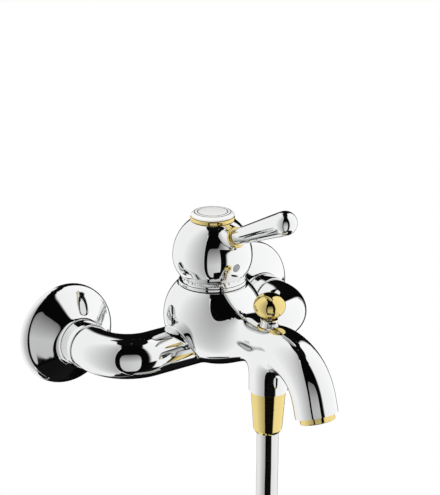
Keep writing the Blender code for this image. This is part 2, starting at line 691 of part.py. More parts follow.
def hose():
    nipple_end = outlet_end - nipple_length
    washer_low = nipple_end - clearance - 0.0020
    finished(turned("hose_washer", ring(0.0050, nipple_radius, washer_low, nipple_end - clearance),
                    medium, diverter_axis), "rubber")
    nut_top = outlet_end - clearance
    nut_low = nut_top - hose_nut_length
    flange_low = washer_low - clearance - 0.0018
    shelf = flange_low - clearance
    bore = hose_radius + 0.0002
    thread = nipple_radius + clearance
    nut = [(thread, nut_top), (hose_nut_top - 0.0004, nut_top), (hose_nut_top, nut_top - 0.0006),
           (hose_nut_bottom, nut_low + 0.0022), (bore + 0.0006, nut_low), (bore, nut_low),
           (bore, shelf), (thread, shelf)]
    finished(turned("hose_nut", nut, large, diverter_axis), "gold")
    ferrule = [(0.0040, washer_low - clearance), (nipple_radius, washer_low - clearance), (nipple_radius, flange_low),
               (hose_radius - 0.0002, flange_low), (hose_radius - 0.0002, nut_low), (0.0040, nut_low)]
    finished(turned("hose_ferrule", ferrule, medium, diverter_axis), "brass")

    # the drop stops where it would enter the coil's solid; the coil is one ring around all its turns
    ring_outer = coil_radius + hose_radius + 0.0004
    ring_inner = coil_radius - hose_radius - 0.0004
    travel = coil_pitch * coil_turns / 2
    half_width = travel + hose_radius + 0.0004
    entry = coil_centre + Vector((-coil_radius, -travel, 0.0))
    stations = hose_run + [entry]
    fine = smooth_path(stations, 120)
    last = 0
    for index in range(1, len(fine) - 1):
        run = (fine[index + 1] - fine[index - 1]).normalized()
        spot = fine[index] - coil_centre
        lateral = Vector((-run.z, 0.0, run.x)) * hose_radius
        corners = [math.hypot(spot.x + lateral.x * s, spot.z + lateral.z * s) for s in (-1, 1)]
        if min(corners) < ring_outer + clearance:
            break
        last = index
    kept = fine[:last - 12:30] + [fine[last]]
    kept[0].z = nut_low - clearance
    tube("hose_drop", kept)
    place = Matrix.Translation(coil_centre) @ outwards
    finished(turned("hose_coil", ring(ring_inner, ring_outer, -half_width, half_width), 2 * large, place), "chrome")

    # the last turn leaves the coil on a tangent and ends in the handset nut
    angle = math.pi + math.tau * coil_turns
    leave = Vector((math.cos(angle), 0.0, math.sin(angle)))
    along = Vector((-leave.z, 0.0, leave.x))
    start = coil_centre + coil_radius * leave + Vector((0.0, travel, 0.0))
    first = math.sqrt((ring_outer + clearance) ** 2 - (coil_radius - hose_radius) ** 2)
    final = math.sqrt((ring_outer + hose_nut_top + 0.0010) ** 2 - coil_radius ** 2)
    count = 3
    tube("hose_tail", [start + along * (first + (final - first) * step / count) for step in range(count + 1)])
    nut_place = Matrix.Translation(start + along * (final + clearance)) @ Vector((0, 0, 1)).rotation_difference(
        along).to_matrix().to_4x4()
    end = 0.0270
    handset = [(bore - 0.0012, 0.0), (hose_radius + 0.0008, 0.0), (hose_nut_bottom, 0.0022), (hose_nut_top, end - 0.0006),
               (hose_nut_top - 0.0004, end), (thread, end), (thread, end - hose_nut_thread),
               (bore - 0.0012, end - hose_nut_thread)]
    finished(turned("handset_nut", handset, medium, nut_place), "gold")
    finished(turned("handset_washer", ring(0.0050, nipple_radius, end - hose_nut_thread + clearance,
                                           end - hose_nut_thread + 0.0023), medium, nut_place), "rubber")

    # a strap around the coil's lowest part
    low = coil_centre.z - coil_radius
    strap = block("coil_tie", (0.0100, 2 * half_width + 0.0030, ring_outer - ring_inner + 0.0030),
                  (coil_centre.x, coil_centre.y, low))
    hole = block("hole", (0.0200, 2 * half_width + 2 * clearance, ring_outer - ring_inner + 0.0014),
                 (coil_centre.x, coil_centre.y, low))
    finished(combined(strap, "DIFFERENCE", [hole]), "rubber")


def tube(name, path):
    curve = bpy.data.curves.new(name, "CURVE")
    curve.dimensions = "3D"
    curve.bevel_depth = hose_radius
    curve.bevel_resolution = 3
    curve.use_fill_caps = True
    spline = curve.splines.new("POLY")
    spline.points.add(len(path) - 1)
    for point, place in zip(spline.points, path):
        point.co = (*place, 1.0)
    piece = bpy.data.objects.new(name, curve)
    bpy.context.scene.collection.objects.link(piece)
    dress(piece, "chrome")


clear_scene()
swivel_pivot = pivot("temperature_axis", (0.0, -body_out, stem_pivot))
tilt_pivot = pivot("tilt_axis", (0.0, -body_out, stem_pivot))
disc_guide = pivot("disc_slide", (0.0, -body_out, moving_z))
lift_guide = pivot("diverter_slide", (0.0, -diverter_out, seat_z))
for inlet_side, inlet_label in ((-1, "left"), (1, "right")):
    inlet(inlet_side, inlet_label)
casting()
cartridge(swivel_pivot, disc_guide)
bonnet()
handle(tilt_pivot)
diverter(lift_guide)
aerator()
hose()
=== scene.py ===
import json
import math

import bmesh
import bpy
import numpy as np
from mathutils import Matrix, Vector


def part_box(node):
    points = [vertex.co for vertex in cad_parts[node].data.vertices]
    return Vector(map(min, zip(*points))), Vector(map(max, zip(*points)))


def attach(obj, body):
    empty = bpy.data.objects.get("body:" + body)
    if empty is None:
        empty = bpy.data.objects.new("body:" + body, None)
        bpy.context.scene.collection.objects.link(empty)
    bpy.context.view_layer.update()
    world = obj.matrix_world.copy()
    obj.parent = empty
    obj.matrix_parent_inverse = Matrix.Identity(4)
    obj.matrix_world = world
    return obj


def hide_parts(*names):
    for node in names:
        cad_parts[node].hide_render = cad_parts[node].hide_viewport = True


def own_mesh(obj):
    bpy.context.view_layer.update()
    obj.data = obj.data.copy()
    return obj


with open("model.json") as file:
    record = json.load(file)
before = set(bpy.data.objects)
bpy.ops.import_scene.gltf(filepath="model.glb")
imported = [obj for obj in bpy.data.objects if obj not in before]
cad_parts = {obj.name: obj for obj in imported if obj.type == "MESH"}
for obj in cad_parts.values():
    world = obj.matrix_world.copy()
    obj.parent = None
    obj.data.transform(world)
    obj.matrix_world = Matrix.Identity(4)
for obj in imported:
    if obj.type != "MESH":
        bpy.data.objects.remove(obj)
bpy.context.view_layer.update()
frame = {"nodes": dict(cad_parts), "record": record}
mm = 0.001


def middle(node):
    low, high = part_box(node)
    return (Vector(low) + Vector(high)) / 2


# the axes that everything is turned about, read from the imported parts
bodyAxis = Vector((0, middle("cartridge_shell").y, 0))
diverterAxis = Vector((0, middle("diverter_collar").y, 0))
inletSpacing = middle("right_rosette").x - middle("left_rosette").x
outwards = Matrix.Rotation(math.radians(90), 4, "X")


cameraSet = {"lens": 110.6, "place": (-0.5472, -0.8157, 0.3799), "azimuth": -35.91, "elevation": 21.09,
             "shiftX": 0.0204, "shiftY": 0.1201, "sensor": 36}


def makeCamera(s):
    data = bpy.data.cameras.new("camera")
    data.lens = s["lens"]
    data.sensor_width = s["sensor"]
    data.shift_x = s["shiftX"]
    data.shift_y = s["shiftY"]
    camera = bpy.data.objects.new("camera", data)
    camera.location = s["place"]
    camera.rotation_euler = (math.radians(90 - s["elevation"]), 0, math.radians(s["azimuth"]))
    bpy.context.scene.collection.objects.link(camera)
    bpy.context.scene.camera = camera


makeCamera(cameraSet)
print("camera done")


def newMaterial(name, color, roughness, metallic=0.0, **sockets):
    material = bpy.data.materials.new(name)
    material.use_nodes = True
    shader = material.node_tree.nodes["Principled BSDF"]
    shader.inputs["Base Color"].default_value = (*color, 1)
    shader.inputs["Roughness"].default_value = roughness
    shader.inputs["Metallic"].default_value = metallic
    for socket, value in sockets.items():
        shader.inputs[socket.replace("_", " ")].default_value = value
    return material, material.node_tree, shader


def addNode(tree, kind, **values):
    # a value that is another node's socket is linked, and a name that is no socket is a setting
    node = tree.nodes.new(kind)
    for name, value in values.items():
        socket = node.inputs.get(name.replace("_", " "))
        if socket is None:
            setattr(node, name, value)
        elif isinstance(value, bpy.types.NodeSocket):
            tree.links.new(value, socket)
        else:
            socket.default_value = value
    return node


def mathNode(tree, operation, *values):
    node = addNode(tree, "ShaderNodeMath", operation=operation)
    for socket, value in zip(node.inputs, values):
        if isinstance(value, (int, float)):
            socket.default_value = value
        else:
            tree.links.new(value, socket)
    return node.outputs["Value"]


def spanNode(tree, value, low, high, start, end, kind="LINEAR"):
    return addNode(tree, "ShaderNodeMapRange", interpolation_type=kind, Value=value, From_Min=low,
                   From_Max=high, To_Min=start, To_Max=end).outputs["Result"]


def mixShaders(tree, share, first, second, output):
    mix = addNode(tree, "ShaderNodeMixShader", Fac=share)
    tree.links.new(first.outputs[0], mix.inputs[1])
    tree.links.new(second.outputs[0], mix.inputs[2])
    tree.links.new(mix.outputs[0], output.inputs["Surface"])


def noiseBetween(tree, scale, low, high, detail=3.0):
    # a noise in Object coordinates, brought between two values
    place = addNode(tree, "ShaderNodeTexCoord").outputs["Object"]
    noise = addNode(tree, "ShaderNodeTexNoise", Vector=place, Scale=scale, Detail=detail)
    return spanNode(tree, noise.outputs["Fac"], 0.0, 1.0, low, high)


def addBump(tree, shader, height, strength, distance):
    bump = addNode(tree, "ShaderNodeBump", Height=height, Strength=strength, Distance=distance)
    tree.links.new(bump.outputs["Normal"], shader.inputs["Normal"])


platedSet = {"hazeLow": 0.6, "hazeHigh": 1.5, "waveScale": 90.0, "wave": 0.02, "waveDepth": 0.0002}


def polishedMetal(name, color, roughness, spots, edge=(1, 1, 1), s=platedSet):
    # plated metal: an even mirror with very faint polishing haze and water spots
    material, tree, shader = newMaterial(name, color, roughness, 1.0, Specular_Tint=(*edge, 1))
    haze = noiseBetween(tree, spots, roughness * s["hazeLow"], roughness * s["hazeHigh"])
    tree.links.new(haze, shader.inputs["Roughness"])
    addBump(tree, shader, noiseBetween(tree, s["waveScale"], 0.0, 1.0, 1.0), s["wave"], s["waveDepth"])
    return material


machinedSet = {"lines": 700.0, "bend": 0.6, "detail": 2.0, "depth": 0.00003, "bump": 0.15, "spots": 260.0}


def machinedMetal(name, color, roughness, s=machinedSet):
    # fine turning lines
    material, tree, shader = newMaterial(name, color, roughness, 1.0)
    place = addNode(tree, "ShaderNodeTexCoord").outputs["Object"]
    lines = addNode(tree, "ShaderNodeTexWave", bands_direction="Z", Vector=place, Scale=s["lines"],
                    Distortion=s["bend"], Detail=s["detail"])
    addBump(tree, shader, lines.outputs["Fac"], s["bump"], s["depth"])
    wear = noiseBetween(tree, s["spots"], roughness * 0.8, roughness * 1.3)
    tree.links.new(wear, shader.inputs["Roughness"])
    return material


mouldedSet = {"bump": 0.12, "depth": 0.00005, "patches": 6}


def moulded(name, color, roughness, grain, s=mouldedSet):
    material, tree, shader = newMaterial(name, color, roughness)
    addBump(tree, shader, noiseBetween(tree, grain, 0.0, 1.0), s["bump"], s["depth"])
    sheen = noiseBetween(tree, grain / s["patches"], roughness * 0.85, roughness * 1.15)
    tree.links.new(sheen, shader.inputs["Roughness"])
    return material


porcelainSet = {"color": (0.95, 0.95, 0.94), "roughness": 0.22, "shine": 0.3, "ink": (0.10, 0.10, 0.11),
                "rings": (9.7, 11.8), "lineWidth": 0.6, "ripple": 120.0, "bump": 0.03, "depth": 0.0001}


def glazedPorcelain(s):
    # white glaze with two thin printed rings about the handle's axis
    material, tree, shader = newMaterial("glazed porcelain", s["color"], s["roughness"],
                                         Specular_IOR_Level=s["shine"])
    place = addNode(tree, "ShaderNodeTexCoord").outputs["Object"]
    centre = addNode(tree, "ShaderNodeMapping", Vector=place, Location=-bodyAxis).outputs["Vector"]
    flat = addNode(tree, "ShaderNodeVectorMath", operation="MULTIPLY", Vector=centre)
    flat.inputs[1].default_value = (1, 1, 0)
    radius = addNode(tree, "ShaderNodeVectorMath", operation="LENGTH", Vector=flat.outputs["Vector"])
    lines = [mathNode(tree, "COMPARE", radius.outputs["Value"], ring * mm, s["lineWidth"] * mm / 2)
             for ring in s["rings"]]
    color = addNode(tree, "ShaderNodeMix", data_type="RGBA")
    color.inputs[6].default_value = (*s["color"], 1)
    color.inputs[7].default_value = (*s["ink"], 1)
    tree.links.new(mathNode(tree, "MAXIMUM", *lines), color.inputs[0])
    tree.links.new(color.outputs[2], shader.inputs["Base Color"])
    addBump(tree, shader, noiseBetween(tree, s["ripple"], 0.0, 1.0), s["bump"], s["depth"])
    return material


# one finish for each material slot of the record
finishes = {
    "chrome": polishedMetal("chrome plate", color=(0.845, 0.85, 0.85), roughness=0.035, spots=35.0),
    "hose": polishedMetal("hose cover", color=(0.76, 0.765, 0.75), roughness=0.06, spots=120.0),
    "gold": polishedMetal("gold plate", color=(0.83, 0.665, 0.26), roughness=0.06, spots=60.0,
                          edge=(1, 0.95, 0.8)),
    "raw_brass": machinedMetal("machined brass", color=(0.72, 0.54, 0.28), roughness=0.28),
    "steel": machinedMetal("plain steel", color=(0.62, 0.62, 0.63), roughness=0.25),
    "rubber": moulded("black rubber", color=(0.025, 0.025, 0.027), roughness=0.55, grain=900.0),
    "white_plastic": moulded("white plastic", color=(0.82, 0.82, 0.79), roughness=0.38, grain=700.0),
    "grey_plastic": moulded("grey plastic", color=(0.36, 0.37, 0.39), roughness=0.35, grain=900.0),
    "disc_ceramic": moulded("ground ceramic", color=(0.84, 0.82, 0.77), roughness=0.30, grain=1400.0),
    "porcelain": glazedPorcelain(porcelainSet),
}
print("finishes done")


def rounded(corners, arcSteps=6):
    # corners are (radius, height) or (radius, height, fillet) in millimetres, and the outline is closed
    points = []
    for index, corner in enumerate(corners):
        here = Vector(corner[:2])
        fillet = corner[2] if len(corner) > 2 else 0
        before = Vector(corners[index - 1][:2]) - here
        after = Vector(corners[(index + 1) % len(corners)][:2]) - here
        if fillet <= 0 or before.length < 1e-6 or after.length < 1e-6:
            points.append(here)
            continue
        angle = before.angle(after)
        back = min(fillet / math.tan(angle / 2), before.length * 0.49, after.length * 0.49)
        start, end = here + before.normalized() * back, here + after.normalized() * back
        for step in range(arcSteps + 1):
            t = step / arcSteps
            points.append((1 - t) ** 2 * start + 2 * t * (1 - t) * here + t * t * end)
    return [(max(0.0, point.x), point.y) for point in points]


def arc(across, upward, centre, start, end, steps):
    # points of an ellipse about the axis, with the angles in radians
    turns = [start + (end - start) * step / steps for step in range(steps + 1)]
    return [(across * math.cos(turn), centre + upward * math.sin(turn)) for turn in turns]


def newPiece(name, mesh):
    piece = bpy.data.objects.new(name, mesh)
    bpy.context.scene.collection.objects.link(piece)
    return piece


def finishedMesh(name, shape):
    mesh = bpy.data.meshes.new(name)
    shape.to_mesh(mesh)
    shape.free()
    return mesh


def softEdges(mesh, sharp):
    mesh.shade_smooth()
    mesh.set_sharp_from_angle(angle=math.radians(sharp))


def evaluated(piece):
    bpy.context.view_layer.update()
    return bpy.data.meshes.new_from_object(piece.evaluated_get(bpy.context.evaluated_depsgraph_get()))


def drop(*pieces):
    for piece in pieces:
        bpy.data.objects.remove(piece, do_unlink=True)


def turned(name, outline, place, steps=128, sharp=40):
    # the outline, in millimetres, spun about the place's own z axis
    shape = bmesh.new()
    corners = [shape.verts.new((radius * mm, 0, height * mm)) for radius, height in outline]
    for first, second in zip(corners, corners[1:] + corners[:1]):
        if first.co.x > 1e-9 or second.co.x > 1e-9:
            shape.edges.new((first, second))
    bmesh.ops.spin(shape, geom=shape.verts[:] + shape.edges[:], cent=(0, 0, 0), axis=(0, 0, 1),
                   angle=math.tau, steps=steps, use_merge=True)
    bmesh.ops.remove_doubles(shape, verts=shape.verts, dist=1e-7)
    bmesh.ops.recalc_face_normals(shape, faces=shape.faces)
    bmesh.ops.transform(shape, matrix=place, verts=shape.verts)
    mesh = finishedMesh(name, shape)
    softEdges(mesh, sharp)
    return newPiece(name, mesh)


def drum(radius, low, high, place, steps):
    # a plain cylinder, mostly to cut with
    return turned("drum", [(0, low), (radius, low), (radius, high), (0, high)], place, steps)


def settle(piece, body, slot, *nodes):
    piece.data.materials.clear()
    piece.data.materials.append(finishes[slot])
    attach(piece, body)
    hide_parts(*nodes)
    return piece


def lathe(label, node, outline, place, body, slot, steps=128, sharp=40):
    return settle(turned(f"{label}_turned", outline, place, steps, sharp), body, slot, node)


def smoothMin(first, second, width):
    near = np.maximum(width - np.abs(first - second), 0) / width
    return np.minimum(first, second) - near ** 3 * width / 6


def gradient(field, points, step=2e-5):
    slopes = np.empty_like(points)
    for axis in range(3):
        shift = np.zeros(3)
        shift[axis] = step
        slopes[:, axis] = field(points + shift) - field(points - shift)
    return slopes / np.maximum(np.linalg.norm(slopes, axis=1), 1e-12)[:, None]


def cornersOf(mesh):
    points = np.empty(len(mesh.vertices) * 3)
    mesh.vertices.foreach_get("co", points)
    return points.reshape(-1, 3)


skinSet = {"passes": 4, "reach": 4.0, "onSkin": 0.03, "flatFrom": 0.9}


def blendedSkin(name, rough, field, voxel, s=skinSet):
    # a rough union is remeshed, then every corner is moved onto the smooth surface where field is zero
    remesh = rough.modifiers.new("remesh", "REMESH")
    remesh.mode = "VOXEL"
    remesh.voxel_size = voxel
    mesh = evaluated(rough)
    drop(rough)
    points = cornersOf(mesh)
    reach = s["reach"] * mm
    for _ in range(s["passes"]):
        points -= gradient(field, points) * np.clip(field(points), -reach, reach)[:, None]
    mesh.vertices.foreach_set("co", points.ravel())
    mesh.update()
    mesh.name = name
    return newPiece(name, mesh)


def cutBy(piece, cutters):
    for cutter in cutters:
        cut = piece.modifiers.new("cut", "BOOLEAN")
        cut.operation = "DIFFERENCE"
        cut.solver = "EXACT"
        cut.object = cutter
    mesh = evaluated(piece)
    piece.modifiers.clear()
    piece.data = mesh
    drop(*cutters)


def smoothNormals(piece, field, s=skinSet):
    # faces on the blended surface take its exact normals, cut faces stay flat
    mesh = piece.data
    mesh.shade_smooth()
    points = cornersOf(mesh)
    slopes = gradient(field, points)
    onSkin = np.abs(field(points)) < s["onSkin"] * mm
    normals = []
    for face in mesh.polygons:
        straight = np.array(face.normal)
        for corner in face.vertices:
            smooth = onSkin[corner] and slopes[corner] @ straight > s["flatFrom"]
            normals.append(slopes[corner] if smooth else straight)
    mesh.normals_split_custom_set(normals)


def alongAxis(start, direction):
    turn = Vector((0, 0, 1)).rotation_difference(Vector(direction)).to_matrix().to_4x4()
    return Matrix.Translation(start) @ turn


def tube(name, path, radius):
    curve = bpy.data.curves.new(name, "CURVE")
    curve.dimensions = "3D"
    curve.bevel_depth = radius
    curve.bevel_resolution = 14
    curve.use_fill_caps = True
    spline = curve.splines.new("POLY")
    spline.points.add(len(path) - 1)
    for point, place in zip(spline.points, path):
        point.co = (*place, 1)
    spline.use_smooth = True
    return newPiece(name, curve)


def sweptRough(path, radius):
    guide = tube("rough", path, radius)
    mesh = evaluated(guide)
    drop(guide)
    return mesh


def joined(name, meshes):
    shape = bmesh.new()
    for mesh in meshes:
        shape.from_mesh(mesh)
    return newPiece(name, finishedMesh(name, shape))


def smoothPath(points, perSpan):
    padded = [2 * points[0] - points[1]] + list(points) + [2 * points[-1] - points[-2]]
    path = []
    for before, start, end, after in zip(padded, padded[1:], padded[2:], padded[3:]):
        for step in range(perSpan):
            t = step / perSpan
            path.append(0.5 * (2 * start + (end - before) * t
                               + (2 * before - 5 * start + 4 * end - after) * t * t
                               + (3 * start - before - 3 * end + after) * t ** 3))
    return path + [Vector(points[-1])]


hoseSet = {
    "radius": 7.0, "length": 1.27, "coilRadius": 70.0, "pitch": 14.4, "turns": 2.25, "perTurn": 24,
    "run": [(0, -123.2, -80), (-2, -123.4, -115), (-20, -128, -156), (-48, -134.5, -192),
            (-64, -138.5, -220)],
    "centre": (0, -123.2, -250), "tail": (0.33, 0.67, 1.0), "perSpan": 3,
}
farNutSet = [(6.0, 0), (7.8, 0, 0.3), (9.2, 2.2, 0.9), (11.2, 27, 0.5), (10.5, 27), (10.5, 14.5), (6.0, 14.5)]


def makeFarNut(corners):
    start = middle("handset_nut")
    start.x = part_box("handset_nut")[0][0]
    place = Matrix.Translation(start) @ Matrix.Rotation(math.radians(90), 4, "Y")
    return lathe("handset_nut", "handset_nut", rounded(corners), place, "root", "gold")


strapSet = {"width": 10.0, "sheet": 0.8, "corner": 3.0, "cornerSteps": 8}


def strapLoop(s, halfY, halfZ):
    # a rounded rectangle across the turns of the coil, in millimetres
    loop = []
    for cornerY, cornerZ, start in ((1, 1, 0), (-1, 1, 90), (-1, -1, 180), (1, -1, 270)):
        for step in range(s["cornerSteps"] + 1):
            turn = math.radians(start + 90 * step / s["cornerSteps"])
            loop.append((cornerY * (halfY - s["corner"]) + s["corner"] * math.cos(turn),
                         cornerZ * (halfZ - s["corner"]) + s["corner"] * math.sin(turn)))
    return loop


def makeStrap(s):
    low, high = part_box("coil_tie")
    centre = middle("coil_tie")
    halfY, halfZ = (high[1] - low[1]) / 2 / mm, (high[2] - low[2]) / 2 / mm
    outer = strapLoop(s, halfY, halfZ)
    inner = [(y * (1 - s["sheet"] / halfY), z * (1 - s["sheet"] / halfZ)) for y, z in outer]
    shape = bmesh.new()
    rows = []
    for points, edge in ((outer, -1), (outer, 1), (inner, 1), (inner, -1)):
        rows.append([shape.verts.new(centre + Vector((edge * s["width"] / 2, y, z)) * mm) for y, z in points])
    for first, second in zip(rows, rows[1:] + rows[:1]):
        for index in range(len(first)):
            after = (index + 1) % len(first)
            shape.faces.new((first[index], first[after], second[after], second[index]))
    bmesh.ops.recalc_face_normals(shape, faces=shape.faces)
    mesh = finishedMesh("coil_tie_strap", shape)
    softEdges(mesh, 40)
    return settle(newPiece("coil_tie_strap", mesh), "root", "rubber", "coil_tie")


def hoseRoute(s):
    # down from the nut, round the coil and out to the far nut
    centre = Vector(s["centre"]) * mm
    radius = s["coilRadius"] * mm
    travel = s["pitch"] * s["turns"] * mm / 2
    exitPoint = Vector((0, diverterAxis.y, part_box("hose_nut")[0][2]))
    stations = [exitPoint] + [Vector(point) * mm for point in s["run"]]
    turnSteps = round(s["turns"] * s["perTurn"])
    for step in range(turnSteps + 1):
        share = step / turnSteps
        angle = math.pi + math.tau * s["turns"] * share
        stations.append(centre + Vector((radius * math.cos(angle), travel * (2 * share - 1),
                                         radius * math.sin(angle))))
    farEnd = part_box("handset_nut")[0][0]
    stations += [Vector((farEnd * share, centre.y + travel, centre.z - radius)) for share in s["tail"]]
    return exitPoint, smoothPath(stations, s["perSpan"])


def makeHose(s, carried):
    exitPoint, path = hoseRoute(s)
    hose = tube("shower_hose", path, s["radius"] * mm)
    settle(hose, "root", "hose", "hose_drop", "hose_coil", "hose_tail")


makeHose(hoseSet, [makeFarNut(farNutSet), "handset_washer", makeStrap(strapSet)])
print("hose done")


castingSet = {
    "bulbRadius": 30.9, "bulbRise": 18.1, "seam": 38.8, "seamRadius": 22.15,
    "armRadius": 14.5, "armBend": 25.8, "armStart": 31.0,
    "neckRadius": 10.3, "spoutRadius": 14.0,
    "mouthRadius": 13.4, "mouthSlope": 71.0, "mouth": (-171.3, -16.0),
    "outletRadius": 12.4, "outletTop": 7.0, "outletEnd": -15.9,
    "spoutBlend": 46.0, "armBlend": 1.8, "outletBlend": 10.0, "voxel": 0.9,
    "chamber": (17.6, 20, 45), "diverterBore": 7.75, "mouthBore": (11.2, -8, 1), "samples": 160, "window": 41,
}
# the spout's centre line: distances ahead of a named place, and heights
spoutSet = {"root": 8.5, "neck": (30, 9.8), "diverter": 14.2, "hump": 16.0, "crown": (21.5, 13.1),
            "shoulder": (9.8, 7.2), "beforeMouth": 14.5, "pastMouth": 8.0, "neckAt": 34, "swellAt": 25,
            "rootSwell": 2.0, "diverterWaist": 0.4}


def mouthLine(s):
    slope = math.radians(s["mouthSlope"])
    return Vector((0, *s["mouth"])) * mm, Vector((0, -math.cos(slope), -math.sin(slope)))


def spoutStations(s, line):
    mouth, drop = mouthLine(s)
    crown = -mouth.y - line["crown"][0] * mm
    ahead = -diverterAxis.y
    places = [(-bodyAxis.y, line["root"]), (-bodyAxis.y + line["neck"][0] * mm, line["neck"][1]),
              (ahead, line["diverter"]), ((ahead + crown) / 2, line["hump"]), (crown, line["crown"][1]),
              (crown + line["shoulder"][0] * mm, line["shoulder"][1])]
    return [Vector((0, -out, height * mm)) for out, height in places] + [
        mouth - line["beforeMouth"] * mm * drop, mouth, mouth + line["pastMouth"] * mm * drop]


spoutCurve = np.array([tuple(point) for point in smoothPath(spoutStations(castingSet, spoutSet), 24)])


def spoutRadius(s, line, ahead):
    # the spout swells between the neck and the diverter, then thins to the mouth
    mouth = s["mouth"][0]
    stops = [-bodyAxis.y, line["neckAt"] * mm - bodyAxis.y, -diverterAxis.y, -(mouth + line["swellAt"]) * mm,
             -mouth * mm]
    sizes = np.array([s["neckRadius"] + line["rootSwell"], s["neckRadius"],
                      s["spoutRadius"] - line["diverterWaist"], s["spoutRadius"], s["mouthRadius"]])
    fine = np.linspace(stops[0], stops[-1], s["samples"])
    rough = np.interp(fine, stops, sizes * mm)
    window = np.hanning(s["window"])
    padded = np.pad(rough, s["window"] // 2, "edge")
    return np.interp(ahead, fine, np.convolve(padded, window / window.sum(), "valid"))


spoutSizes = spoutRadius(castingSet, spoutSet, -spoutCurve[:, 1])


def spoutField(points):
    # distance to the nearest place on the centre line, less the spout's radius there
    best = np.empty(len(points))
    for first in range(0, len(points), 20000):
        part = points[first:first + 20000]
        squares = ((part[:, None, :] - spoutCurve[None, :, :]) ** 2).sum(axis=2)
        nearest = np.clip(squares.argmin(axis=1), 1, len(spoutCurve) - 2)
        rows = np.arange(len(part))
        before, here, after = squares[rows, nearest - 1], squares[rows, nearest], squares[rows, nearest + 1]
        bend = before - 2 * here + after
        offset = np.clip((before - after) / (2 * np.maximum(bend, 1e-14)), -1, 1)
        least = here - (before - after) * offset / 4
        size = np.interp(nearest + offset, np.arange(len(spoutSizes)), spoutSizes)
        best[first:first + 20000] = np.sqrt(np.maximum(least, 0)) - size
    return best


def bulbField(points, s=castingSet):
    rise = (s["seam"] - s["bulbRise"]) / math.sqrt(1 - (s["seamRadius"] / s["bulbRadius"]) ** 2)
    size = np.array([s["bulbRadius"], s["bulbRadius"], rise]) * mm
    local = points - np.array([0, bodyAxis.y, s["bulbRise"] * mm])
    whole = np.linalg.norm(local / size, axis=1)
    return whole * (whole - 1) / np.maximum(np.linalg.norm(local / size ** 2, axis=1), 1e-9)


def armField(points, s=castingSet):
    half = inletSpacing / 2
    bend = s["armBend"] * mm
    across, deep = np.abs(points[:, 0]), points[:, 1]
    cornerX, cornerY = half - bend, bodyAxis.y + bend
    wallLeg = np.hypot(across - half, np.maximum(cornerY - deep, 0))
    crossLeg = np.hypot(deep - bodyAxis.y, np.maximum(across - cornerX, 0))
    elbow = np.abs(np.hypot(across - cornerX, deep - cornerY) - bend)
    elbow = np.where((across >= cornerX) & (deep <= cornerY), elbow, 1.0)
    return np.hypot(np.minimum(np.minimum(wallLeg, crossLeg), elbow), points[:, 2]) - s["armRadius"] * mm


def outletField(points, s=castingSet):
    above = np.maximum(points[:, 2] - s["outletTop"] * mm, 0)
    away = np.sqrt(points[:, 0] ** 2 + (points[:, 1] - diverterAxis.y) ** 2 + above ** 2)
    return away - s["outletRadius"] * mm


def castingField(points, s=castingSet):
    body = smoothMin(bulbField(points), spoutField(points), s["spoutBlend"] * mm)
    body = smoothMin(body, armField(points), s["armBlend"] * mm)
    return smoothMin(body, outletField(points), s["outletBlend"] * mm)


def makeCasting(s):
    half = inletSpacing / 2
    bend = s["armBend"] * mm
    meshes = []
    for side in (-1, 1):
        path = [Vector((side * half, -(s["armStart"] - 2) * mm, 0))]
        for step in range(17):
            turn = math.radians(90) * step / 16
            path.append(Vector((side * (half - bend + bend * math.cos(turn)),
                                bodyAxis.y + bend - bend * math.sin(turn), 0)))
        path.append(Vector((side * 5 * mm, bodyAxis.y, 0)))
        meshes.append(sweptRough(path, s["armRadius"] * mm))
    meshes.append(sweptRough([Vector(point) for point in spoutCurve[::4]], s["mouthRadius"] * mm))
    outletLine = [Vector((0, diverterAxis.y, height * mm)) for height in (s["outletEnd"] - 4, 12)]
    meshes.append(sweptRough(outletLine, s["outletRadius"] * mm))
    ball = bmesh.new()
    bmesh.ops.create_uvsphere(ball, u_segments=48, v_segments=24, radius=s["bulbRadius"] * mm)
    bmesh.ops.translate(ball, verts=ball.verts, vec=(0, bodyAxis.y, s["bulbRise"] * mm))
    meshes.append(finishedMesh("ball", ball))
    skin = blendedSkin("casting_skin", joined("rough", meshes), castingField, s["voxel"] * mm)

    body, outlet = Matrix.Translation(bodyAxis), Matrix.Translation(diverterAxis)
    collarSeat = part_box("diverter_collar")[0][2] / mm - 0.3
    mouthPlace = alongAxis(*mouthLine(s))
    cutters = [drum(40, s["seam"], 60, body, 96), drum(*s["chamber"], body, 96)]
    for side in (-1, 1):
        cutters.append(drum(20, 10, s["armStart"], Matrix.Translation((side * half, 0, 0)) @ outwards, 48))
    cutters += [drum(16, -30, s["outletEnd"], outlet, 64),
                drum(s["diverterBore"], collarSeat, 40, outlet, 96),
                drum(20, 0, 14, mouthPlace, 64), drum(*s["mouthBore"], mouthPlace, 96)]
    cutBy(skin, cutters)
    smoothNormals(skin, castingField)
    settle(skin, "root", "chrome", "body_casting")
    return mouthPlace


mouthPlace = makeCasting(castingSet)
print("casting done")


domeSet = {
    "radius": 26.0, "widest": 57.05, "lower": 21.88, "upper": 28.5, "top": 81.0, "rim": 41.5,
    "rimRadius": 21.75, "rimHeight": 1.3, "rimBlend": 1.6, "leverCross": 64.3, "leverRise": 24.5,
    "boss": [(8.0, 9.8), (19.0, 8.3), (23.0, 7.0), (26.7, 6.2), (34.0, 6.0)], "bossEnd": 26.7,
    "bossBlend": 5.0,
    "pivot": 34.0, "tilt": 16.0, "plug": 55.4, "plugHole": 2.65, "recess": 10.3, "voxel": 0.7,
    "rimRound": 0.5, "sheet": 2.5, "post": 8, "opening": [(20.24, -4), (20.24, 0), (19.5, 2.2), (19.8, 4)],
}
leverPlace = (Matrix.Translation(bodyAxis + Vector((0, 0, domeSet["leverCross"] * mm)))
              @ Matrix.Rotation(math.radians(90 - domeSet["leverRise"]), 4, "X"))


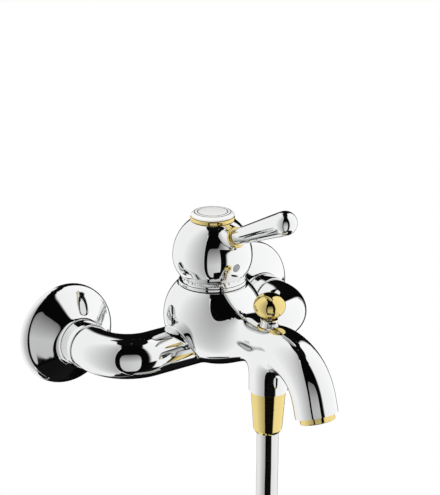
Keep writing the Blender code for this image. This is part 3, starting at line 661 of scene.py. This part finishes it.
def domeField(points, s=domeSet):
    local = (points - np.array(bodyAxis)) / mm
    radius = np.hypot(local[:, 0], local[:, 1])
    height = local[:, 2] - s["widest"]
    half = np.where(height < 0, s["lower"], s["upper"])
    whole = np.hypot(radius / s["radius"], height / half)
    slope = np.hypot(radius / s["radius"] ** 2, height / half ** 2)
    ball = whole * (whole - 1) / np.maximum(slope, 1e-9)
    rim = np.hypot(np.maximum(radius - s["rimRadius"] + s["rimRound"], 0),
                   np.maximum(local[:, 2] - s["rim"] - s["rimHeight"] + s["rimRound"], 0)) - s["rimRound"]
    shell = smoothMin(ball, rim, s["rimBlend"])
    back = np.array(leverPlace.inverted())
    along = (points @ back[:3, :3].T + back[:3, 3]) / mm
    size = np.interp(along[:, 2], *np.array(s["boss"]).T)
    boss = np.maximum(np.hypot(along[:, 0], along[:, 1]) - size, s["boss"][0][0] - along[:, 2])
    return smoothMin(shell, boss, s["bossBlend"]) * mm


def makeDome(s):
    steps = 40
    low = math.asin((s["rim"] + 2.2 - s["widest"]) / s["lower"])
    high = math.asin((s["top"] + 2 - s["widest"]) / s["upper"])
    outline = [(0, s["rim"] - 2), (s["rimRadius"], s["rim"] - 2), (s["rimRadius"], s["rim"] + 1)]
    for step in range(steps + 1):
        turn = low + (high - low) * step / steps
        outline.append((s["radius"] * math.cos(turn),
                        s["widest"] + (s["lower"] if turn < 0 else s["upper"]) * math.sin(turn)))
    outline.append((0, outline[-1][1]))
    axis = Matrix.Translation(bodyAxis)
    dome = turned("rough", outline, axis, 96)
    boss = turned("rough", [(0, 12)] + [(size, place) for place, size in s["boss"]] + [(0, s["boss"][-1][0])],
                  leverPlace, 48)
    meshes = [dome.data, boss.data]
    drop(dome, boss)
    skin = blendedSkin("dome_skin", joined("rough", meshes), domeField, s["voxel"] * mm)

    # hollow inside, with a post for the stem under the plug
    inner = [(radius, s["rim"] + rise) for radius, rise in s["opening"]]
    for step in range(13):
        height = s["rim"] + 6 + (s["top"] - 9.5 - s["rim"] - 6) * step / 12
        half = s["lower"] if height < s["widest"] else s["upper"]
        wide = s["radius"] * math.sqrt(1 - ((height - s["widest"]) / half) ** 2)
        inner.append((wide - s["sheet"], height))
    postEnd = s["plug"] - 4.4
    inner += [(s["post"], s["top"] - 9), (s["post"], postEnd), (0, postEnd), (0, s["rim"] - 4)]
    plugPlace = Matrix.Translation(bodyAxis + Vector((0, 0, s["plug"] * mm))) @ outwards
    pivot = Matrix.Translation(bodyAxis + Vector((0, 0, s["pivot"] * mm)))
    tilt = pivot @ Matrix.Rotation(math.radians(s["tilt"]), 4, "X")
    lift = s["rim"] - s["pivot"]
    cutters = [
        drum(24, s["top"], 90, axis, 96), drum(40, s["rim"] - 8, s["rim"], axis, 96),
        drum(45, lift - 50, lift, tilt, 64), turned("cut", inner, axis, 96),
        drum(12, s["bossEnd"], 40, leverPlace, 48),
        drum(s["plugHole"], s["radius"] - 6, s["radius"] + 4, plugPlace, 48),
        drum(s["recess"], s["top"] - 4, s["top"] + 3, axis, 64),
    ]
    cutBy(skin, cutters)
    smoothNormals(skin, domeField)
    settle(skin, "handle", "chrome", "handle_dome")
    return plugPlace


plugPlace = makeDome(domeSet)
print("dome done")


topSet = {
    "ring": [(8.5, 77.3), (10.0, 77.3), (10.0, 81.3, 0.1), (14.4, 81.3, 0.7), (14.4, 83.7, 0.9), (8.5, 83.7)],
    "disc": [(0, 81.0), (8.2, 81.0), (8.2, 84.0), (14.0, 84.0, 0.4), (14.1, 85.1, 1.0), (12.4, 86.45, 2.4),
             (5.0, 86.9, 4), (0, 87.0)],
    "plug": [(0, 22.3), (2.4, 22.3), (2.4, 26.0, 0.4), (1.2, 26.2, 1), (0, 26.2)],
}


def makeTopDisc(s):
    axis = Matrix.Translation(bodyAxis)
    lathe("disc_ring", "disc_ring", rounded(s["ring"]), axis, "handle", "gold")
    lathe("porcelain_disc", "porcelain_disc", rounded(s["disc"]), axis, "handle", "porcelain", sharp=60)


leverSet = {"start": 29.7, "end": 88.95, "thin": 5.4, "thick": 7.55, "ringStart": 27.0, "ringEnd": 29.4,
            "ringRadius": 6.8, "ringRound": 1.1, "bore": 3.3, "boreDepth": 12.5, "edge": 0.8, "curve": 0.35}


def makeLever(s):
    band = rounded([(s["bore"], s["ringStart"]), (s["ringRadius"], s["ringStart"], s["ringRound"]),
                    (s["ringRadius"], s["ringEnd"], s["ringRound"]), (s["bore"], s["ringEnd"])], 8)
    lathe("lever_ring", "lever_ring", band, leverPlace, "handle", "gold")
    # the neck starts a little above the ring and widens to the round end
    neck, rise = s["thin"] + 0.1, s["start"] + 2
    widening, roundAt = s["thick"] - neck, s["end"] - s["thick"]
    outline = [(s["bore"], s["start"] + s["boreDepth"]), (s["bore"], s["start"])]
    outline += rounded([(s["bore"], s["start"] + 1), (s["bore"], s["start"]),
                        (s["thin"], s["start"], s["edge"]), (neck, rise)], 5)[2:]
    for step in range(1, 17):
        share = step / 16
        curved = (3 - 2 * share) * share * share
        outline.append((neck + widening * (curved * s["curve"] + share * (1 - s["curve"])),
                        rise + (roundAt - rise) * share))
    outline += arc(s["thick"], s["thick"], roundAt, 0, math.radians(90), 16)[1:-1]
    outline += [(0, s["end"]), (0, s["start"] + s["boreDepth"])]
    lathe("lever", "lever", outline, leverPlace, "handle", "chrome", sharp=50)


makeTopDisc(topSet)
makeLever(leverSet)
lathe("index_plug", "index_plug", rounded(topSet["plug"]), plugPlace, "handle", "grey_plastic", 48)
print("handle done")


bonnetSet = {"radius": 20.8, "pivot": 34.0, "flangeTop": 41.2, "mouth": 46.8, "sheet": 1.5, "floor": 39.7,
             "bore": 16.1, "flange": [(16.1, 35.8), (17.3, 35.8, 0.2), (17.3, 39.1), (22.15, 39.1, 0.3),
                                      (22.15, 41.2, 0.7), (19.6, 41.2)]}


def makeBonnet(s):
    # a flange with a part of a sphere on it, on which the dome tips
    inside = s["radius"] - s["sheet"]

    def turnAt(height, radius):
        return math.asin((height - s["pivot"]) / radius)

    outline = rounded(s["flange"])[:-1]
    outline += arc(s["radius"], s["radius"], s["pivot"], turnAt(s["flangeTop"], s["radius"]),
                   turnAt(s["mouth"], s["radius"]), 12)
    outline += arc(inside, inside, s["pivot"], turnAt(s["mouth"], inside), turnAt(s["floor"], inside), 10)
    outline.append((s["bore"], s["floor"]))
    lathe("bonnet", "spherical_bonnet", outline, Matrix.Translation(bodyAxis), "root", "chrome")


makeBonnet(bonnetSet)
print("bonnet done")


diverterSet = {
    "collar": [(5.3, 24.3), (7.5, 24.3, 0.1), (7.5, 26.9, 1.2), (5.3, 26.9)],
    "guide": [(2.3, 20.5), (5.0, 20.5, 0.4), (5.0, 27.2), (6.0, 27.2, 0.3), (5.2, 29.6, 2.5),
              (5.6, 31.9, 0.4), (2.3, 31.9)],
    "knobRadius": 10.1, "knobHalf": 8.2, "knobHeight": 40.7, "rodBore": 2.3, "boreEnd": 40.4, "flatFrom": -76,
}


def makeDiverter(s):
    axis = Matrix.Translation(diverterAxis)
    lathe("collar", "diverter_collar", rounded(s["collar"], 8), axis, "root", "gold")
    lathe("guide", "diverter_guide", rounded(s["guide"]), axis, "root", "chrome", 96)
    start = math.radians(s["flatFrom"])
    ball = [(s["rodBore"], s["boreEnd"]), (s["rodBore"], s["knobHeight"] + s["knobHalf"] * math.sin(start))]
    ball += arc(s["knobRadius"], s["knobHalf"], s["knobHeight"], start, math.radians(90), 40)[1:-1]
    ball += [(0, s["knobHeight"] + s["knobHalf"]), (0, s["boreEnd"])]
    lathe("knob", "diverter_knob", ball, axis, "diverter", "gold", sharp=60)


makeDiverter(diverterSet)
print("diverter done")


def newGroup(name, **sockets):
    group = bpy.data.node_groups.new(name, "GeometryNodeTree")
    group.interface.new_socket("Geometry", in_out="OUTPUT", socket_type="NodeSocketGeometry")
    for socket, kind in sockets.items():
        group.interface.new_socket(socket, in_out="INPUT", socket_type=f"NodeSocket{kind}")
    return group, group.nodes.new("NodeGroupInput").outputs


def grownMesh(name, group, values):
    holder = newPiece(name, bpy.data.meshes.new(name))
    modifier = holder.modifiers.new("grow", "NODES")
    modifier.node_group = group
    for item in group.interface.items_tree:
        if item.in_out == "INPUT" and item.name in values:
            modifier[item.identifier] = values[item.name]
    mesh = evaluated(holder)
    drop(holder)
    return mesh


def endGroup(group, entry, geometry):
    # every group ends in real geometry with its material
    realize = addNode(group, "GeometryNodeRealizeInstances", Geometry=geometry)
    dress = addNode(group, "GeometryNodeSetMaterial", Geometry=realize.outputs[0],
                    Material=entry["Material"])
    addNode(group, "NodeGroupOutput", Geometry=dress.outputs[0])
    return group


def helixGroup():
    # a rod wound up in a helix: the ridge of a thread with four sides, or a spring with more
    group, entry = newGroup("helix", Turns="Float", Radius="Float", Height="Float", Ridge="Float",
                            Sides="Int", Material="Material")
    spiral = addNode(group, "GeometryNodeCurveSpiral", Resolution=48, Rotations=entry["Turns"],
                     Start_Radius=entry["Radius"], End_Radius=entry["Radius"], Height=entry["Height"])
    upright = addNode(group, "GeometryNodeSetCurveNormal", mode="Z_UP", Curve=spiral.outputs[0])
    profile = addNode(group, "GeometryNodeCurvePrimitiveCircle", Radius=entry["Ridge"],
                      Resolution=entry["Sides"])
    sweep = addNode(group, "GeometryNodeCurveToMesh", Curve=upright.outputs[0],
                    Profile_Curve=profile.outputs[0], Fill_Caps=True)
    return endGroup(group, entry, sweep.outputs[0])


def honeycombGroup():
    # hexagonal cells on staggered rows, kept inside a circle
    group, entry = newGroup("honeycomb", Step="Float", Rows="Int", Reach="Float", Depth="Float",
                            Wall="Float", Material="Material")
    gaps = mathNode(group, "SUBTRACT", entry["Rows"], 1.0)
    rowStep = mathNode(group, "MULTIPLY", entry["Step"], math.sqrt(3) / 2)
    grid = addNode(group, "GeometryNodeMeshGrid", Vertices_X=entry["Rows"], Vertices_Y=entry["Rows"],
                   Size_X=mathNode(group, "MULTIPLY", gaps, entry["Step"]),
                   Size_Y=mathNode(group, "MULTIPLY", gaps, rowStep))
    place = addNode(group, "GeometryNodeInputPosition").outputs[0]
    along = addNode(group, "ShaderNodeSeparateXYZ", Vector=place).outputs["Y"]
    row = mathNode(group, "ROUND", mathNode(group, "DIVIDE", along, rowStep))
    odd = mathNode(group, "MODULO", mathNode(group, "ABSOLUTE", row), 2.0)
    halfStep = mathNode(group, "MULTIPLY", mathNode(group, "MULTIPLY", odd, entry["Step"]), 0.5)
    offset = addNode(group, "ShaderNodeCombineXYZ", X=halfStep)
    stagger = addNode(group, "GeometryNodeSetPosition", Geometry=grid.outputs["Mesh"],
                      Offset=offset.outputs[0])
    away = addNode(group, "ShaderNodeVectorMath", operation="LENGTH", Vector=place)
    beyond = mathNode(group, "GREATER_THAN", away.outputs["Value"], entry["Reach"])
    keep = addNode(group, "GeometryNodeDeleteGeometry", Geometry=stagger.outputs[0], Selection=beyond)
    hexagon = addNode(group, "GeometryNodeCurvePrimitiveCircle", Resolution=6,
                      Radius=mathNode(group, "DIVIDE", entry["Step"], math.sqrt(3)))
    section = addNode(group, "GeometryNodeCurvePrimitiveQuadrilateral", Width=entry["Wall"],
                      Height=entry["Depth"])
    cell = addNode(group, "GeometryNodeCurveToMesh", Curve=hexagon.outputs[0],
                   Profile_Curve=section.outputs[0])
    turn = addNode(group, "GeometryNodeTransform", Geometry=cell.outputs[0],
                   Rotation=(0, 0, math.radians(30)))
    spread = addNode(group, "GeometryNodeInstanceOnPoints", Points=keep.outputs[0],
                     Instance=turn.outputs[0])
    return endGroup(group, entry, spread.outputs[0])


inletSet = {
    "rosette": [(34.3, 0), (34.3, 1.6), (33.6, 3.6), (31.8, 5.6), (28.6, 8.0), (25.0, 10.7), (21.4, 13.4),
                (18.0, 16.0), (16.3, 17.6), (15.8, 18.5), (15.7, 19.3)],
    "sheet": 1.5, "hole": 13.3, "seat": 15.3, "insideRim": 33.1,
    "nut": [(13.3, 19.6), (15.3, 19.6, 0.5), (15.3, 30.7, 0.5), (10.9, 30.7), (10.9, 28.7), (13.3, 28.7)],
    "union": [(0, 3), (13, 3, 0.4), (13, 24, 0.3), (0, 24)], "unionBore": 6.2,
    "pitch": 1.814, "shankRadius": 10.4, "ridge": 0.62, "shankLength": 18.0, "shankOffset": 7.0,
}


def makeInlet(s, side, label, helix):
    place = Matrix.Translation((side * inletSpacing / 2, 0, 0)) @ outwards
    shankPlace = Matrix.Translation((0, 0, s["shankOffset"] * mm)) @ place
    bell = [Vector((*point, 0)) for point in s["rosette"]]
    outside = [(min(point.x, bell[0].x), point.y) for point in smoothPath(bell, 5)]
    inside = [(max(radius - s["sheet"], s["hole"]), max(0, height - 1.2))
              for radius, height in outside[4:-8:4]]
    outline = outside + [(s["hole"], outside[-1][1]), (s["hole"], s["seat"])] + inside[::-1]
    outline.append((s["insideRim"], 0))
    lathe(f"{label}_rosette", f"{label}_rosette", outline, place, "root", "chrome")
    lathe(f"{label}_union_nut", f"{label}_union_nut", rounded(s["nut"]), place, "root", "chrome")

    # the eccentric union: a collar, a shank beside its axis, both bores and the screw thread
    core = s["shankRadius"] - s["ridge"]
    union = turned("union", rounded(s["union"]), place, 64)
    rod = rounded([(0, -s["shankLength"]), (core, -s["shankLength"], 0.6), (core, 6), (0, 6)])
    shank = turned("shank", rod, shankPlace, 64)
    join = union.modifiers.new("join", "BOOLEAN")
    join.operation = "UNION"
    join.object = shank
    mesh = evaluated(union)
    union.modifiers.clear()
    union.data = mesh
    drop(shank)
    cutBy(union, [drum(s["unionBore"], 4.5, 27, place, 48), drum(s["unionBore"], -22, 10, shankPlace, 48)])
    turns = (s["shankLength"] - 3) / s["pitch"]
    ridge = grownMesh("thread", helix, {
        "Turns": turns, "Radius": core * mm, "Height": turns * s["pitch"] * mm, "Ridge": s["ridge"] * mm,
        "Sides": 4, "Material": finishes["chrome"]})
    ridge.transform(shankPlace @ Matrix.Translation((0, 0, (1.2 - s["shankLength"]) * mm)))
    whole = joined(f"{label}_union_threaded", [union.data, ridge])
    drop(union)
    softEdges(whole.data, 35)
    settle(whole, "root", "chrome", f"{label}_eccentric_union")


helix = helixGroup()
for side, label in ((-1, "left"), (1, "right")):
    makeInlet(inletSet, side, label, helix)
print("inlets done")


springSet = {"wire": 0.5, "turns": 5.0, "sides": 12}


def makeSpring(s, helix):
    # the piston presses the spring against the guide as the knob goes up
    low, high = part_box("diverter_spring")
    wire, length = s["wire"] * mm, high[2] - low[2]
    coil = grownMesh("diverter_spring_coil", helix, {
        "Turns": s["turns"], "Radius": (high[0] - low[0]) / 2 - wire, "Height": length - 2 * wire,
        "Ridge": wire, "Sides": s["sides"], "Material": finishes["steel"]})
    coil.transform(Matrix.Translation((0, diverterAxis.y, low[2] + wire)))
    softEdges(coil, 40)
    spring = settle(newPiece("diverter_spring_coil", coil), "root", "steel", "diverter_spring")
    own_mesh(spring)


makeSpring(springSet, helix)
print("spring done")


aeratorSet = {"radius": 10.9, "bore": 9.1, "inner": -7.5, "outer": 4.1, "lip": 1.0, "lipDepth": 1.5,
              "step": 1.9, "rows": 13, "wall": 0.3, "cellDepth": 3.0}


def makeAerator(s):
    # a gold sleeve with an insert: an outer band, a floor and cells over it
    lip, seat = s["bore"] - s["lip"], s["outer"] - s["lipDepth"]
    shell = rounded([(s["bore"], s["inner"]), (s["radius"], s["inner"], 0.3), (s["radius"], s["outer"], 0.8),
                     (lip, s["outer"], 0.3), (lip, seat), (s["bore"], seat)])
    lathe("aerator_housing", "aerator_housing", shell, mouthPlace, "root", "gold")
    low, high = s["inner"] + 0.6, s["outer"] - 1.8
    inside, outside = s["bore"] - 1.2, s["bore"] - 0.3
    band = turned("band", [(inside, low), (outside, low), (outside, high), (inside, high)], mouthPlace, 96)
    plate = drum(s["bore"] - 1.3, low, low + 1, mouthPlace, 64)
    cells = grownMesh("cells", honeycombGroup(), {
        "Step": s["step"] * mm, "Rows": s["rows"], "Reach": (s["bore"] - 2.0) * mm,
        "Depth": s["cellDepth"] * mm, "Wall": s["wall"] * mm, "Material": finishes["white_plastic"]})
    cells.transform(mouthPlace @ Matrix.Translation((0, 0, (high - 1.7) * mm)))
    insert = joined("aerator_insert_cells", [band.data, plate.data, cells])
    drop(band, plate)
    settle(insert, "root", "white_plastic", "aerator_insert")


makeAerator(aeratorSet)
print("aerator done")


hoseNutSet = [(10.5, -16.2), (11.2, -16.2, 0.5), (9.2, -43.0, 0.9), (7.8, -45.2, 0.3), (7.2, -45.2),
              (7.2, -26.5), (10.5, -26.5)]
lathe("hose_nut", "hose_nut", rounded(hoseNutSet), Matrix.Translation(diverterAxis), "root", "gold")
print("hose nut done")


stageSet = {"floorHeight": -1.7, "floorSize": 12.0, "floorColor": (0.8, 0.8, 0.8), "roughness": 0.9,
            "white": (1, 1, 1, 1)}


def makeFloor(s):
    # a pale floor; what looks straight at it, or sees it in a mirror, gets plain white
    shape = bmesh.new()
    bmesh.ops.create_grid(shape, x_segments=8, y_segments=8, size=s["floorSize"] / 2)
    bmesh.ops.translate(shape, verts=shape.verts, vec=(0, 0, s["floorHeight"]))
    floor = newPiece("floor", finishedMesh("floor", shape))
    material, tree, shader = newMaterial("floor", s["floorColor"], s["roughness"])
    path = addNode(tree, "ShaderNodeLightPath").outputs
    seen = mathNode(tree, "MAXIMUM", path["Is Camera Ray"], path["Is Transmission Ray"])
    seen = mathNode(tree, "MAXIMUM", seen, path["Is Glossy Ray"])
    glow = addNode(tree, "ShaderNodeEmission", Color=s["white"], Strength=1.0)
    mixShaders(tree, seen, shader, glow, tree.nodes["Material Output"])
    floor.data.materials.append(material)


makeFloor(stageSet)

# The cards that the metal mirrors: pale panels in front of dark ones. Each is a curved sheet round a centre.
# "azimuth" 0 is straight out from the wall and grows to the right, "up" is in degrees, or "height" in
# millimetres. "shade" runs from the left edge to the right one, starting at "from"; "fade" softens those
# edges, "dim" darkens the upper end to that share, and "round" rounds the corners.
cardSet = {
    "darkFront": {"azimuth": (-62, 9), "up": (-60, 78), "shade": (0.002, 0.002), "fade": (0.03, 0.12)},
    "zenith": {"azimuth": (-180, 180), "up": (62, 89.5), "shade": (0.004, 0.004)},
    "rightRear": {"azimuth": (112, 170), "up": (-75, 62), "shade": (0.002, 0.005), "fade": (0.08, 0.2)},
    "rightSlit": {"azimuth": (98, 113), "up": (-35, 12), "shade": (0.002, 0.005), "fade": (0.1, 0.0)},
    "table": {"azimuth": (-62, 180), "up": (-89, -48), "shade": (0.006, 0.01), "fade": (0.03, 0.03)},
    "tableLeft": {"azimuth": (-180, -62), "up": (-89, -66), "shade": (0.01, 0.01)},
    "sidePanel": {"azimuth": (-178, -61), "up": (-74, 75), "shade": (1.0, 0.46), "from": 0.42, "round": 6,
                  "radius": 1500},
    "rightPanel": {"azimuth": (7, 112), "up": (-46, 72), "shade": (1.0, 1.12), "fade": (0.06, 0.02),
                   "round": 8, "radius": 1500},
    "frontPanel": {"azimuth": (-52, -13), "up": (-60, 30), "shade": (0.6, 0.74), "dim": 0.25, "round": 4.5,
                   "radius": 1500},
    "underHose": {"azimuth": (-57, 0), "height": (-190, -36), "shade": (0.002, 0.005), "fade": (0.08, 0.15),
                  "centre": (0, -123.2, 0), "radius": 90},
}


def cardMaterial(name, s):
    material = bpy.data.materials.new(name)
    material.use_nodes = True
    tree = material.node_tree
    tree.nodes.clear()
    place = addNode(tree, "ShaderNodeUVMap").outputs["UV"]
    split = addNode(tree, "ShaderNodeSeparateXYZ", Vector=place).outputs
    across, upward = split["X"], split["Y"]
    shade = spanNode(tree, across, s.get("from", 0.0), 1.0, *s["shade"])
    if "dim" in s:
        shade = mathNode(tree, "MULTIPLY", shade, spanNode(tree, upward, 0.55, 1.0, 1.0, s["dim"]))
    covers = []
    left, right = s.get("fade", (0, 0))
    if left > 0:
        covers.append(spanNode(tree, across, 0.0, left, 0.0, 1.0, "SMOOTHSTEP"))
    if right > 0:
        covers.append(spanNode(tree, across, 1.0 - right, 1.0, 1.0, 0.0, "SMOOTHSTEP"))
    if "round" in s:
        sides = []
        for value in (across, upward):
            fromMiddle = mathNode(tree, "ABSOLUTE", mathNode(tree, "MULTIPLY_ADD", value, 2.0, -1.0))
            sides.append(mathNode(tree, "POWER", fromMiddle, s["round"]))
        covers.append(spanNode(tree, mathNode(tree, "ADD", *sides), 0.9, 1.0, 1.0, 0.0, "SMOOTHSTEP"))
    cover = mathNode(tree, "ADD", 1.0, 0.0)
    for part in covers:
        cover = mathNode(tree, "MULTIPLY", cover, part)
    glow = addNode(tree, "ShaderNodeEmission", Color=shade, Strength=1.0)
    clear = addNode(tree, "ShaderNodeBsdfTransparent")
    mixShaders(tree, cover, clear, glow, addNode(tree, "ShaderNodeOutputMaterial"))
    return material


cardGrid = {"columns": 48, "rows": 24, "centre": (0, -100, 20), "radius": 1600}


def makeCard(name, s, common=cardGrid):
    centre = Vector(s.get("centre", common["centre"])) * mm
    radius = s.get("radius", common["radius"]) * mm
    columns, rows = common["columns"], common["rows"]
    left, right = s["azimuth"]
    low, high = s.get("height", s.get("up"))
    shape = bmesh.new()
    grid = []
    for row in range(rows + 1):
        up = low + (high - low) * row / rows
        if "height" in s:
            reach, rise = radius, up * mm
        else:
            reach, rise = radius * math.cos(math.radians(up)), radius * math.sin(math.radians(up))
        turns = [math.radians(left + (right - left) * column / columns) for column in range(columns + 1)]
        grid.append([shape.verts.new(centre + Vector((reach * math.sin(turn), -reach * math.cos(turn), rise)))
                     for turn in turns])
    spread = shape.loops.layers.uv.new("UVMap")
    for row in range(rows):
        for column in range(columns):
            face = shape.faces.new((grid[row][column], grid[row + 1][column],
                                    grid[row + 1][column + 1], grid[row][column + 1]))
            shares = ((column, row), (column, row + 1), (column + 1, row + 1), (column + 1, row))
            for corner, (along, up) in zip(face.loops, shares):
                corner[spread].uv = (along / columns, up / rows)
    card = newPiece(name, finishedMesh(name, shape))
    card.data.materials.append(cardMaterial(name, s))
    for ray in ("camera", "diffuse", "shadow", "volume_scatter"):
        setattr(card, f"visible_{ray}", False)


for name, values in cardSet.items():
    makeCard("card" + name[0].upper() + name[1:], values)


def makeWorld():
    world = bpy.data.worlds.new("studio")
    world.use_nodes = True
    bpy.context.scene.world = world
    background = world.node_tree.nodes["Background"]
    background.inputs["Color"].default_value = (1, 1, 1, 1)
    background.inputs["Strength"].default_value = 1.0


makeWorld()
bpy.context.scene.view_settings.view_transform = "Standard"
print("stage done")

# the inner parts that stay as the frame brings them get their finish too
slots = {part["node"]: part["material_slot"] for part in frame["record"]["subparts"]}
for node, piece in frame["nodes"].items():
    for materialSlot in piece.material_slots:
        materialSlot.material = finishes[slots[node]]
